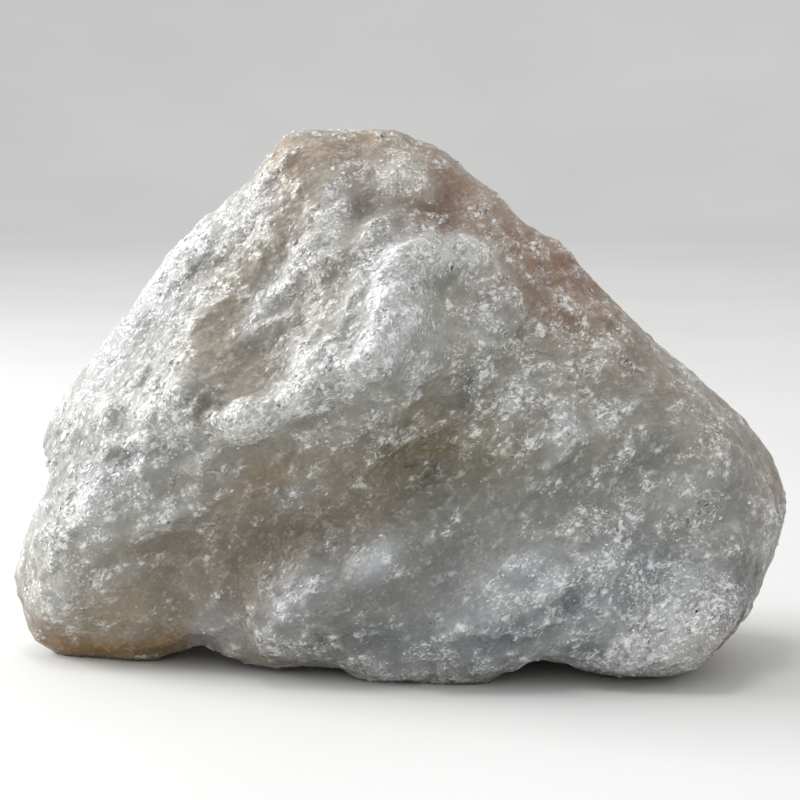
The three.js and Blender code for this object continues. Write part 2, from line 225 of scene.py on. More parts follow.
    ("lip gap", -24, 37.3, 4, 2, 30, "#857b69", 1.1, -1.2, -0.4),
    ("valley shelf", -25, 29.5, 4, 1.8, 20, "#b0ada4", 0.7, 0.8, 0.5),
    # the left foot
    ("left foot wax", -36, 10.5, 10, 5, 12, "#a59478", 0.9, -0.8, 0),
    ("wax grains", -37.5, 13.5, 3, 1.6, 20, "#bcb8b0", 0.8, 1.0, 0.3),
    ("foot shade", -30.5, 6.5, 4, 3.0, 70, "#857358", 1.0, -0.9, -0.2),
    ("left foot edge", -46.5, 3.4, 5, 2, -20, "#8a6a3c", 1.1, -0.6, 0),
    ("wax low edge", -38, 6.8, 9, 2.2, 5, "#a39478", 0.9, -0.5, 0),
    ("foot toe amber", -31, 3.6, 4, 1.4, 20, "#93703c", 1.2, -0.8, 0),
    ("amber foot", -40, 2.0, 14, 1.9, 2, "#9c7840", 1.2, -1.0, 0),
    # the sill, the boss and the cool front between the feet
    ("foot corner", -24.8, 6, 4, 2.8, 55, "#aaa9ad", 0.9, 1.0, 0.2),
    ("sill", -13.5, 11.5, 7, 2.8, 55, "#a8aab0", 0.9, 0.6, 0.3),
    ("sill frost", -13.5, 5.5, 5, 3, 15, "#a09a91", 0.9, 0.3, 0.1),
    ("boss", -2.6, 17.8, 3.6, 2.2, 48, "#c4c8cb", 1.0, 2.4, 1.0),
    ("cool lower front", 8, 7, 12, 6, 10, "#a0a6ab", 0.8, 0.1, 0),
    ("mid right shade", 20, 28, 6, 3.5, 20, "#9c9c94", 0.8, -0.4, 0),
    ("cool lower right", 27, 12, 20, 8, 8, "#afb8be", 0.8, 0.45, 0),
    ("upper shelf", 16, 17.3, 5, 2, 20, "#b6bdc1", 0.8, 1.0, 0.4),
    ("front pebble", 11, 10.5, 3, 2, 40, "#c0c5ca", 0.8, 1.2, 0.6),
    ("upper pebble", 17.7, 13.3, 4, 2.2, 30, "#c6cbcf", 0.9, 1.8, 0.5),
    ("slate spot", 21.3, 12, 3.2, 1.9, 15, "#707a7e", 1.0, -1.2, -0.3),
    ("foot notch", 13.5, 7.7, 5, 2.4, 10, "#7a7f84", 1.0, -0.9, -0.3),
    ("front foot dip", 24, 5, 3.6, 1.9, 0, "#6f7579", 1.1, -1.1, -0.4),
    # the right foot; the dark patches under it and at its end are painted shade
    ("right lump", 26.6, 18, 3.4, 2.4, 60, "#ccd2d5", 0.9, 2.8, 0.8),
    ("right foot", 35.5, 8, 8, 5, 20, "#d6d7d7", 1.0, 3.4, 1.3),
    ("right foot under", 42, 2.4, 6, 2.4, 38, "#7c7169", 1.1, -1.2, -0.2),
    ("cream foot", 39.5, 8, 4.5, 3, 40, "#ccc6bc", 1.0, 2.2, 1.0),
    ("right foot shade", 46.5, 6, 5, 2.2, 50, "#857c74", 1.0, -1.2, -0.2),
    ("pink spot", 42.5, 5, 3, 2.5, 0, "#b08672", 0.9, -0.3, 0),
    # the right end, which turns away from the light; its dark dips and hollows are painted shade
    ("right trough", 18, 23.5, 14, 3, 5, "#939691", 0.8, -0.7, -0.3),
    ("right dip", 31.5, 29.8, 6, 3, 50, "#8f908b", 0.9, -1.0, -0.3),
    ("lower right shade", 30.5, 20.5, 6, 2.4, 40, "#8d8f8b", 0.9, -0.7, -0.3),
    ("right grains", 36.2, 25, 4.5, 3, 30, "#c8c8c4", 0.9, 1.9, 0.6),
    ("right crest", 26.7, 35, 5, 2, 35, "#c1c0bb", 0.7, 1.2, 0.5),
    ("end hollow", 44.5, 13, 8, 4, 62, "#757370", 1.0, -1.1, -0.3),
    ("end shade", 43, 26, 6, 2.4, 70, "#94938f", 0.8, -0.8, -0.2),
    ("right mid dip", 31, 16, 4.4, 2, 20, "#82898c", 1.0, -1.1, -0.3),
    ("end grains", 48, 18, 3, 2.2, 80, "#c3beb6", 1.0, 2.0, 0.4),
    ("knob", 20.5, 33.8, 3.4, 1.8, 75, "#d0cfcb", 1.0, 3.0, 1.2),
    ("slope lump", 22.5, 49, 4, 1.8, -30, "#b8a48c", 0.8, 0.9, 0.6),
    ("slope grains", 27.5, 43, 3.2, 1.6, 50, "#bcb0a0", 0.8, 1.1, 0.5),
    ("slope dip", 30.5, 40.5, 4, 1.8, 50, "#8d7f6d", 0.9, -1.0, -0.3),
)]


# ---- values and colours ---------------------------------------------------------------------


def linear(hex_colour):
    """The linear values of an sRGB hex colour: a value up to 0.04045 over 12.92, and a higher
    one plus 0.055, over 1.055, to the power of 2.4."""
    srgb = np.array([int(hex_colour[i : i + 2], 16) / 255 for i in (1, 3, 5)])
    return np.where(srgb <= 0.04045, srgb / 12.92, ((srgb + 0.055) / 1.055) ** 2.4)


def smoothstep(low, high, x):
    """0 below low, 1 above high, and 3t^2 - 2t^3 between them."""
    t = np.clip((x - low) / (high - low), 0, 1)
    return t * t * (3 - 2 * t)


def unit(vectors):
    """Each vector over its own length."""
    return vectors / np.linalg.norm(vectors, axis=1, keepdims=True)


def chance(places, seed):
    """A repeatable number from 0 to 1 for each whole-number place: its three parts times large
    odd numbers, with the bits of all three mixed."""
    p = places.astype(np.int64).astype(np.uint64)
    h = p[..., 0] * np.uint64(0x9E3779B1)
    h = h ^ p[..., 1] * np.uint64(0x85EBCA77) ^ p[..., 2] * np.uint64(0xC2B2AE3D)
    h = (h + np.uint64(seed * 0x27D4EB2F)) & np.uint64(0xFFFFFFFF)
    for shift, factor in ((15, 0x2C1B3C6D), (12, 0x297A2D39), (15, 1)):
        h = ((h ^ (h >> np.uint64(shift))) * np.uint64(factor)) & np.uint64(0xFFFFFFFF)
    return h.astype(float) / 0xFFFFFFFF


def swell(points, seed):
    """Smooth noise from -1 to 1: the numbers of the eight corners of the unit cell, blended by
    the quintic 6t^5 - 15t^4 + 10t^3 of the place in it."""
    base = np.floor(points)
    t = points - base
    t = t**3 * (t * (t * 6 - 15) + 10)
    total = 0
    for corner in np.ndindex(2, 2, 2):
        c = np.array(corner)
        total = total + chance(base + c, seed) * np.prod(np.where(c, t, 1 - t), axis=-1)
    return total * 2 - 1


def nearest_centre(points, seed):
    """The nearest of one random centre in each unit cell: the offset from it, and three
    numbers from 0 to 1 of its own."""
    base = np.floor(points)
    near = np.full(len(points), 9.0)
    offset = np.zeros_like(points)
    cell = np.zeros_like(points)
    for step in np.ndindex(3, 3, 3):
        place = base + np.array(step) - 1
        away = points - (place + np.stack([chance(place, seed + k) for k in range(3)], -1))
        far = np.linalg.norm(away, axis=-1)
        closer = far < near
        near = np.where(closer, far, near)
        offset = np.where(closer[:, None], away, offset)
        cell = np.where(closer[:, None], place, cell)
    return offset, np.stack([chance(cell, seed + 3 + k) for k in range(3)], -1)


# ---- meshes ---------------------------------------------------------------------------------


def box_lattice(cells):
    """The whole-number places on the six sides of a box of cells, welded along its edges, and
    the quads between them, facing out."""
    spans, quads, count = [], [], 0
    for axis in range(3):
        u, v = (axis + 1) % 3, (axis + 2) % 3
        along = np.meshgrid(np.arange(cells[u] + 1), np.arange(cells[v] + 1), indexing="ij")
        for end in (0, cells[axis]):
            grid = np.zeros((cells[u] + 1, cells[v] + 1, 3), int)
            grid[..., u], grid[..., v] = along
            grid[..., axis] = end
            index = np.arange(grid[..., 0].size).reshape(grid.shape[:2]) + count
            ring = [index[:-1, :-1], index[1:, :-1], index[1:, 1:], index[:-1, 1:]]
            quads.append(np.stack(ring if end else ring[::-1], -1).reshape(-1, 4))
            spans.append(grid.reshape(-1, 3))
            count += index.size
    places = np.concatenate(spans)
    key = (places[:, 0] * (cells[1] + 1) + places[:, 1]) * (cells[2] + 1) + places[:, 2]
    _, first, same = np.unique(key, return_index=True, return_inverse=True)
    return places[first], same.ravel()[np.concatenate(quads)]


def lattice_directions(places, cells):
    """Directions out of the heart: the tangent of an even angle on each side of the box,
    stretched to the stone's reach."""
    return unit(unit(np.tan((2 * places / np.array(cells) - 1) * math.pi / 4)) * REACH)


def new_mesh(name, points_mm, faces, smooth):
    """A mesh object at the origin from points in millimetres and faces of one size."""
    mesh = bpy.data.meshes.new(name)
    mesh.vertices.add(len(points_mm))
    mesh.vertices.foreach_set("co", (points_mm * MM).astype(np.float32).ravel())
    mesh.loops.add(faces.size)
    mesh.loops.foreach_set("vertex_index", faces.astype(np.int32).ravel())
    mesh.polygons.add(len(faces))
    starts = np.arange(0, faces.size, faces.shape[1], dtype=np.int32)
    mesh.polygons.foreach_set("loop_start", starts)
    mesh.polygons.foreach_set("use_smooth", np.full(len(faces), smooth))
    mesh.update(calc_edges=True)
    mesh.validate()
    made = bpy.data.objects.new(name, mesh)
    bpy.context.scene.collection.objects.link(made)
    return made


def points_of(mesh):
    """A mesh's points as an array, in millimetres."""
    co = np.empty(len(mesh.vertices) * 3, np.float32)
    mesh.vertices.foreach_get("co", co)
    return co.reshape(-1, 3).astype(float) / MM


def quads_of(mesh):
    """The four points of each face of a mesh of quads."""
    quads = np.empty(len(mesh.polygons) * 4, np.int32)
    mesh.loops.foreach_get("vertex_index", quads)
    return quads.reshape(-1, 4)


def face_cross(points, quads):
    """For each quad, the cross product of its diagonals: its normal, twice as long as its area."""
    a, b, c, d = (points[quads[:, k]] for k in range(4))
    return np.cross(c - a, d - b)


def point_normals(points, quads):
    """For each point, the sum of the quads' cross products around it, made one long."""
    cross = face_cross(points, quads)
    total = [
        sum(np.bincount(quads[:, c], cross[:, k], len(points)) for c in range(4)) for k in range(3)
    ]
    return unit(np.stack(total, -1))


def eased(values, quads, rounds):
    """Each point's values go half way to the mean of its neighbours along the quads' sides,
    for so many rounds."""
    a, b = quads.T.ravel(), np.roll(quads, -1, axis=1).T.ravel()
    n = len(values)
    count = (np.bincount(a, minlength=n) + np.bincount(b, minlength=n))[:, None]
    out = values.copy()
    for _ in range(rounds):
        near = [np.bincount(a, v[b], n) + np.bincount(b, v[a], n) for v in out.T]
        out += 0.5 * (np.stack(near, -1) / count - out)
    return out


def shrunk_onto(start, solid):
    """The points of a mesh object after each goes inwards along its normal to the solid."""
    wrap = start.modifiers.new("onto the solid", "SHRINKWRAP")
    wrap.target = solid
    wrap.wrap_method = "PROJECT"
    wrap.use_negative_direction = True
    wrap.use_positive_direction = False
    shrunk = start.evaluated_get(bpy.context.evaluated_depsgraph_get())
    points = points_of(shrunk.to_mesh())
    shrunk.to_mesh_clear()
    start.modifiers.clear()
    return points


def store(mesh, name, values):
    """Keeps one number, or one linear colour, for each point of a mesh."""
    if values.ndim == 1:
        made = mesh.attributes.new(name, "FLOAT", "POINT")
        made.data.foreach_set("value", values.astype(np.float32))
    else:
        rgba = np.concatenate([values, np.ones((len(values), 1))], 1)
        made = mesh.attributes.new(name, "FLOAT_COLOR", "POINT")
        made.data.foreach_set("color", rgba.astype(np.float32).ravel())


def kept(mesh, name, wide):
    """The numbers, or where wide the colours, that were kept for each point."""
    out = np.empty(len(mesh.vertices) * (4 if wide else 1), np.float32)
    mesh.attributes[name].data.foreach_get("color" if wide else "value", out)
    return out.reshape(-1, 4)[:, :3].astype(float) if wide else out.astype(float)


# ---- the skin's form and colours ------------------------------------------------------------


def along_lineation(points, angle, stretch):
    """Points in a frame whose first axis runs along the grains, up to the right, and is drawn
    out so many times."""
    c, s = math.cos(angle), math.sin(angle)
    along = points[:, 0] * c + points[:, 2] * s
    across = points[:, 2] * c - points[:, 0] * s
    return np.stack([along / stretch, points[:, 1], across], -1)


def patch_shares(points):
    """How far each point lies in each patch: 1 in its middle, falling as exp of minus the
    squared distance in half lengths and half widths."""
    shares = []
    for patch in PATCHES:
        c, s = math.cos(math.radians(patch.angle)), math.sin(math.radians(patch.angle))
        dx, dz = points[:, 0] - patch.right, points[:, 2] - patch.up
        away = ((dx * c + dz * s) / patch.long) ** 2
        shares.append(np.exp(-away - ((dz * c - dx * s) / patch.wide) ** 2))
    return np.array(shares)


def skin_frost(points, laid, shares, behind):
    """How thickly each point is frosted: swells of three sizes along the lineation, what the
    patches add or take, and a broad drift behind. What the dark patches take is partly painted
    shade, and what the palest patches add is partly painted light."""
    frost = sum(share * swell(laid / size, seed) for size, share, seed in FROST_SWELLS)
    frost += USUAL_FROST
    frost += PATCH_FROST * np.tensordot([patch.frost for patch in PATCHES], shares, 1)
    size, share, seed = FROST_DRIFT
    return frost + behind * share * swell(points / size, seed)


def skin_tint(look, points, shares, behind):
    """The body's colour at each point: it goes a share of the way to the warm or the cool
    drift behind, and then to each patch's colour in turn. The dark patches' colours are partly
    painted shade, and the palest ones' partly painted light."""
    tint = np.tile(np.array(look.body_colour), (len(points), 1))
    size, share, seed = COLOUR_DRIFT
    drift = behind * share * swell(points / size, seed)
    for hex_colour, side in ((WARM_DRIFT, drift), (COOL_DRIFT, -drift)):
        tint += np.maximum(side, 0)[:, None] * (linear(hex_colour) - tint)
    for patch, share in zip(PATCHES, shares):
        tint += (share * patch.tint)[:, None] * (linear(patch.colour) - tint)
    return tint


def skin_rise(look, points, laid, normals, frost, shares):
    """How far each point rises. Lumps are the exp of 1.3 of a swell, so that they are sharper
    than the dips between them. Plates are cells, each with a plane of its own tilt and a step
    of its own, so that they break off at their edges. Both are stronger where it is frosted,
    full frost stands 0.3 proud of bare wax, and the patches add their own. All of it is weaker
    where the skin turns away to the ends, the top and the base, and fades out by the ground."""
    lumps = sum(share * np.exp(1.3 * swell(laid / size, seed)) for size, share, seed in LUMPS)
    rise = look.lump_rise / MM * (lumps - 2)
    for size, share, seed in PLATES:
        offset, own = nearest_centre(laid / size, seed)
        plate = np.sum(offset * (own - 0.5), axis=1) * 1.6 + (own[:, 0] - 0.5) * 0.5
        rise += look.plate_rise / MM * share * plate
    frosted = np.clip(frost, 0, 1)
    rise = rise * (0.35 + 0.75 * frosted) + 0.3 * (frosted - 0.5)
    rise += np.tensordot([patch.rise for patch in PATCHES], shares, 1)
    clear_of_ground = smoothstep(0.0, 1.6, points[:, 2])
    return rise * (0.45 + 0.55 * np.abs(normals[:, 1])) * (0.15 + 0.85 * clear_of_ground)


# ---- the crystals' places and forms ---------------------------------------------------------


def frames_on(normals, lean, rng):
    """An up, a long and a wide direction for each crystal: up is the skin's normal, tipped at
    random, long lies near the lineation, and wide is square to both."""
    up = unit(unit(normals) + rng.normal(0, 0.2, normals.shape))
    long = np.array([math.cos(lean), 0, math.sin(lean)]) + rng.normal(0, 0.35, normals.shape)
    long = unit(long - up * np.sum(long * up, axis=1, keepdims=True))
    return long, np.cross(up, long), up


def crystal_bodies(at, axes, usual_length, rng):
    """The points and faces of one crystal at each place. Its length is the usual one times exp
    of a random number, and its width and height are random shares of that."""
    n = len(at)
    length = usual_length * np.exp(rng.normal(0, 0.4, n))
    sizes = (length, length * rng.uniform(0.45, 0.85, n), length * rng.uniform(0.12, 0.28, n))
    corners = CRYSTAL_POINTS + rng.uniform(
        -CORNER_STRAY, CORNER_STRAY, (n, *CRYSTAL_POINTS.shape)
    )
    body = at[:, None]
    for k, (axis, size) in enumerate(zip(axes, sizes)):
        body = body + axis[:, None] * (corners[..., k : k + 1] * size[:, None, None])
    body = body.reshape(-1, 3)
    body[:, 2] = np.maximum(body[:, 2], CRYSTAL_FLOOR)
    firsts = len(CRYSTAL_POINTS) * np.arange(n)
    return body, (CRYSTAL_FACES + firsts[:, None, None]).reshape(-1, 3)


# ---- materials ------------------------------------------------------------------------------


def feed(tree, node, inputs):
    """Gives inputs of a node a value, or a link from the socket that feeds it. Each goes by its
    name, or by its number where several share a name, such as 6 and 7 for a Mix's colours."""
    for name, value in inputs.items():
        if isinstance(value, bpy.types.NodeSocket):
            tree.links.new(value, node.inputs[name])
        else:
            node.inputs[name].default_value = value


def add(tree, kind, inputs=None, **settings):
    """Adds one node with its settings and inputs."""
    node = tree.nodes.new("ShaderNode" + kind)
    for name, value in settings.items():
        setattr(node, name, value)
    feed(tree, node, inputs or {})
    return node


def empty_material(name):
    """A material with only its output and its main shader, and their tree."""
    material = bpy.data.materials.new(name)
    material.use_nodes = True
    tree = material.node_tree
    tree.nodes.clear()
    shader = add(tree, "BsdfPrincipled")
    add(tree, "OutputMaterial", {"Surface": shader.outputs["BSDF"]})
    return material, tree, shader


def grain_pattern(tree, look, wavy):
    """Grains in four sizes. Each is a dome that leans its own way, and has three chances of its
    own: for its height, for a dark speck in it and for its gloss. Gives how they lean, how
    domed and how high they are, all sizes together, and for each size the chances and how far
    a place is from the middle of its grain."""
    leans, dome, height = (0.0, 0.0, 0.0), 0.0, 0.0
    chances, reach = [], []
    for times, lean_share, dome_share in GRAIN_SIZES:
        size = look.grain_width * times
        cell = add(tree, "TexVoronoi", {"Vector": wavy, "Scale": 1 / size}).outputs
        chances.append(add(tree, "SeparateColor", {"Color": cell["Color"]}).outputs)
        reach.append(cell["Distance"])
        way = add(
            tree, "VectorMath", {0: cell["Color"], 1: (0.5, 0.5, 0.5)}, operation="SUBTRACT"
        ).outputs[0]
        leans = add(
            tree, "VectorMath", {0: way, 1: (lean_share,) * 3, 2: leans},
            operation="MULTIPLY_ADD",
        ).outputs[0]
        round_top = add(
            tree, "MapRange",
            {"Value": reach[-1], "From Min": 0.1, "From Max": 0.58, "To Min": 1.0, "To Max": 0.0},
        ).outputs[0]
        own = add(tree, "MapRange", {"Value": chances[-1]["Red"], "From Min": 0.3}).outputs[0]
        own = add(tree, "Math", {0: round_top, 1: own}, operation="MULTIPLY").outputs[0]
        dome = add(
            tree, "Math", {0: own, 1: dome_share, 2: dome}, operation="MULTIPLY_ADD"
        ).outputs[0]
        height = add(
            tree, "Math", {0: own, 1: size, 2: height}, operation="MULTIPLY_ADD"
        ).outputs[0]
    return leans, dome, height, chances, reach


def talc_body_material(look):
    """Massive talc on a fresh break: a waxy, slightly translucent body, so light seeps into it,
    frosted by cleavage faces that each catch the light at their own tilt."""
    material, tree, shader = empty_material("massive talc, broken face")
    place = add(tree, "TexCoord").outputs["Object"]
    # The kept tint and frost carry the patches' painted shade and light with the stone's own
    # colours.
    tint = add(tree, "Attribute", attribute_name="tint").outputs["Color"]
    frost = add(tree, "Attribute", attribute_name="frost").outputs["Fac"]
    hollow = add(tree, "Attribute", attribute_name="hollow").outputs["Fac"]

    # The grains are drawn out along the lineation, which wavers a little, so that rows of them
    # curve.
    laid = add(
        tree, "Mapping",
        {"Vector": place, "Rotation": (0, -look.lineation, 0), "Scale": (look.grain_stretch, 1, 1)},
        vector_type="TEXTURE",
    ).outputs[0]
    waver = add(
        tree, "TexNoise", {"Vector": laid, "Scale": 1 / (WAVER * MM), "Detail": 2.0}
    ).outputs["Color"]
    waver = add(
        tree, "VectorMath", {0: waver, 1: (0.5, 0.5, 0.5)}, operation="SUBTRACT"
    ).outputs[0]
    wavy = add(
        tree, "VectorMath", {0: waver, 1: (WAVER_REACH * MM,) * 3, 2: laid},
        operation="MULTIPLY_ADD",
    ).outputs[0]

    leans, dome, height, chances, reach = grain_pattern(tree, look, wavy)

    # Fine crinkled ridges run between the grains and link them into a lace: they stand where a
    # noise is near its middle.
    vein = add(
        tree, "TexNoise",
        {"Vector": wavy, "Scale": 1 / (LACE * MM), "Detail": 1.0, "Roughness": 0.5},
    ).outputs["Fac"]
    vein = add(tree, "Math", {0: vein, 1: 0.5}, operation="SUBTRACT").outputs[0]
    vein = add(tree, "Math", {0: vein}, operation="ABSOLUTE").outputs[0]
    lace = add(
        tree, "MapRange", {"Value": vein, "From Max": 0.09, "To Min": 1.0, "To Max": 0.0},
        interpolation_type="SMOOTHSTEP",
    ).outputs[0]
    dome = add(tree, "Math", {0: lace, 1: 0.5, 2: dome}, operation="MULTIPLY_ADD").outputs[0]
    height = add(
        tree, "Math", {0: lace, 1: LACE_HEIGHT * MM, 2: height}, operation="MULTIPLY_ADD"
    ).outputs[0]

    # Frost: the tops of grains and lace are crushed white, most where they crowd into clusters.
    cluster = add(
        tree, "TexNoise", {"Vector": wavy, "Scale": 1 / (CLUSTER * MM), "Detail": 2.0}
    ).outputs["Fac"]
    crowd = add(
        tree, "Math", {0: cluster, 1: 2.6, 2: frost}, operation="MULTIPLY_ADD"
    ).outputs[0]
    crowd = add(
        tree, "MapRange", {"Value": crowd, "From Min": 1.3, "From Max": 2.9},
        interpolation_type="SMOOTHSTEP",
    ).outputs[0]
    veil = add(tree, "MapRange", {"Value": crowd, "To Min": 0.15, "To Max": 1.0}).outputs[0]
    white = add(
        tree, "MapRange",
        {"Value": dome, "From Min": 0.35, "From Max": 1.6, "To Min": 0.2, "To Max": 2.0},
    ).outputs[0]
    white = add(
        tree, "Math", {0: white, 1: veil}, operation="MULTIPLY", use_clamp=True
    ).outputs[0]
    pale = add(
        tree, "Mix", {0: 0.8, 6: tint, 7: (*look.frost_colour, 1)}, data_type="RGBA"
    ).outputs[2]

    # The waxy body between: clearer and so darker, in soft clouds.
    cloud = add(
        tree, "TexNoise", {"Vector": place, "Scale": 1 / (CLOUD * MM), "Detail": 3.0}
    ).outputs["Fac"]
    wax = add(
        tree, "MapRange",
        {"Value": cloud, "From Min": 0.3, "From Max": 0.7, "To Min": 0.5, "To Max": 0.7},
    ).outputs[0]
    wax = add(tree, "VectorMath", {0: tint, "Scale": wax}, operation="SCALE").outputs[0]
    base = add(tree, "Mix", {0: white, 6: wax, 7: pale}, data_type="RGBA").outputs[2]

    # Painted shade: hollows are made a little darker than the crests.
    shade = add(
        tree, "MapRange",
        {"Value": hollow, "From Min": -0.2, "From Max": 0.3, "To Min": 1.05, "To Max": 0.85},
    ).outputs[0]
    base = add(tree, "VectorMath", {0: base, "Scale": shade}, operation="SCALE").outputs[0]

    # A few dark specks of another mineral, each in the middle of one of the largest grains.
    speck = add(
        tree, "MapRange",
        {"Value": reach[0], "From Min": 0.07, "From Max": 0.16, "To Min": 0.75, "To Max": 0.0},
    ).outputs[0]
    rare = add(
        tree, "Math", {0: chances[0]["Green"], 1: 0.985}, operation="GREATER_THAN"
    ).outputs[0]
    speck = add(tree, "Math", {0: speck, 1: rare}, operation="MULTIPLY").outputs[0]
    base = add(
        tree, "Mix", {0: speck, 6: base, 7: (*linear("#463d34"), 1)}, data_type="RGBA"
    ).outputs[2]

    # Each grain's gloss is its own. Light seeps in most where there is no frost.
    rough = add(
        tree, "MapRange", {"Value": chances[2]["Blue"], "To Min": 0.25, "To Max": 0.6}
    ).outputs[0]
    seep = add(tree, "MapRange", {"Value": white, "To Min": 0.55, "To Max": 0.15}).outputs[0]

    # The grains lean and stand out most where they are frosted; the wax between is smoother.
    # The bump shows about a quarter of their height.
    bump = add(tree, "MapRange", {"Value": crowd, "To Min": 0.35, "To Max": 1.0}).outputs[0]
    leans = add(tree, "VectorMath", {0: leans, "Scale": bump}, operation="SCALE").outputs[0]
    facing = add(tree, "NewGeometry").outputs["Normal"]
    facets = add(
        tree, "VectorMath", {0: leans, 1: (look.grain_tilt,) * 3, 2: facing},
        operation="MULTIPLY_ADD",
    ).outputs[0]
    facets = add(tree, "VectorMath", {0: facets}, operation="NORMALIZE").outputs[0]
    sugar = add(
        tree, "Bump", {"Strength": bump, "Distance": 0.28, "Height": height, "Normal": facets}
    ).outputs[0]
    feed(tree, shader, {
        "Base Color": base, "Roughness": rough, "Normal": sugar, "IOR": TALC_IOR,
        "Subsurface Weight": seep, "Subsurface Radius": (1.0, 0.82, 0.6),
        "Subsurface Scale": 0.6 * MM,
    })
    return material


def talc_crystal_material(look):
    """Crystals of talc that stand free: nearly white, some clearer, with the pearly gloss of
    fresh cleavage."""
    material, tree, shader = empty_material("talc crystal")
    tint = add(tree, "Attribute", attribute_name="tint").outputs["Color"]
    clear = add(tree, "Attribute", attribute_name="clear").outputs["Fac"]
    white = add(tree, "MapRange", {"Value": clear, "To Min": 0.75, "To Max": 0.35}).outputs[0]
    base = add(
        tree, "Mix", {0: white, 6: tint, 7: (*look.frost_colour, 1)}, data_type="RGBA"
    ).outputs[2]
    rough = add(tree, "MapRange", {"Value": clear, "To Min": 0.55, "To Max": 0.3}).outputs[0]
    feed(tree, shader, {
        "Base Color": base, "Roughness": rough, "IOR": TALC_IOR,
        "Subsurface Weight": 0.3, "Subsurface Radius": (1.0, 0.97, 0.94),
        "Subsurface Scale": 0.12 * MM,
    })
    return material


def studio_board_material(colour):
    """Matt studio board: one pale colour with a faint cloudiness, so that it doesn't look
    flat."""
    material, tree, shader = empty_material("matt studio board")
    place = add(tree, "TexCoord").outputs["Object"]
    cloud = add(
        tree, "TexNoise", {"Vector": place, "Scale": 9.0, "Detail": 3.0}
    ).outputs["Fac"]
    share = add(
        tree, "MapRange",
        {"Value": cloud, "From Min": 0.3, "From Max": 0.7, "To Min": 0.97, "To Max": 1.03},
    ).outputs[0]
    base = add(
        tree, "VectorMath", {0: tuple(colour), "Scale": share}, operation="SCALE"
    ).outputs[0]
    feed(tree, shader, {"Base Color": base, "Roughness": 0.85})
    return material


# ---- what a user may change -----------------------------------------------------------------


class TALC_PG_look(bpy.types.PropertyGroup):
    lineation: bpy.props.FloatProperty(
        name="Lie of the grains",
        description="How steeply the rows of grains run up to the right",
        default=math.radians(36), subtype="ANGLE",
    )
    grain_stretch: bpy.props.FloatProperty(
        name="Grain stretch",
        description="How many times longer a grain is than wide",
        default=1.45, min=1.0,
    )
    grain_width: bpy.props.FloatProperty(
        name="Grain width",
        description="Width of a usual grain of the broken face",
        default=0.48 * MM, min=0.1 * MM, unit="LENGTH", precision=5,
    )
    grain_tilt: bpy.props.FloatProperty(
        name="Grain tilt",
        description="How strongly each grain is tilted; 1 is up to about 40 degrees",
        default=0.66, min=0.0,
    )
    plate_rise: bpy.props.FloatProperty(
        name="Plate rise",
        description="Height of the small broken plates",
        default=0.3 * MM, min=0.0, unit="LENGTH", precision=5,
    )
    lump_rise: bpy.props.FloatProperty(
        name="Lump rise",
        description="Height of the small lumps",
        default=0.38 * MM, min=0.0, unit="LENGTH", precision=5,
    )
    crystal_count: bpy.props.IntProperty(
        name="Crystals",
        description="How many crystals stand in each half of the skin",
        default=7000, min=100, max=24900,
    )
    crystal_length: bpy.props.FloatProperty(
        name="Crystal length",
        description="Usual length of a crystal",
        default=0.33 * MM, min=0.1 * MM, unit="LENGTH", precision=5,
    )
    seed: bpy.props.IntProperty(
        name="Seed",
        description="Another number gives another scatter of crystals",
        default=7,
    )
    body_colour: bpy.props.FloatVectorProperty(
        name="Body colour",
        description="Colour of the waxy body where no patch tints it",
        default=linear("#aca698").tolist(), min=0.0, max=1.0, subtype="COLOR",
    )
    frost_colour: bpy.props.FloatVectorProperty(
        name="Frost colour",
        description="Colour of the sugary frost and of the crystals",
        default=linear("#ececeb").tolist(), min=0.0, max=1.0, subtype="COLOR",
    )


class TALC_PG_studio(bpy.types.PropertyGroup):
    floor_colour: bpy.props.FloatVectorProperty(
        name="Floor colour",
        description="Colour of the studio board",
        default=linear("#d6d5d2").tolist(), min=0.0, max=1.0, subtype="COLOR",
    )
    key_watts: bpy.props.FloatProperty(
        name="Key light",
        description="Power of the light from the left, in watts",
        default=3.8, min=0.0, unit="POWER",
    )
    top_watts: bpy.props.FloatProperty(
        name="Top light",
        description="Power of the soft light overhead, in watts",
        default=0.7, min=0.0, unit="POWER",
    )
    sky: bpy.props.FloatProperty(
        name="Room light",
        description="Strength of the even light of the room",
        default=0.96, min=0.0,
    )
    camera_up: bpy.props.FloatProperty(
        name="Camera elevation",
        description="How far the camera is above the horizon",
        default=math.radians(8), subtype="ANGLE",
    )
    camera_away: bpy.props.FloatProperty(
        name="Camera distance",
        description="From the camera to the point that it looks at",
        default=0.300, unit="LENGTH",
    )
    camera_aim: bpy.props.FloatProperty(
        name="Camera aim",
        description="Height of the point that the camera looks at",
        default=0.0352, unit="LENGTH",
    )


# ---- the pieces -----------------------------------------------------------------------------


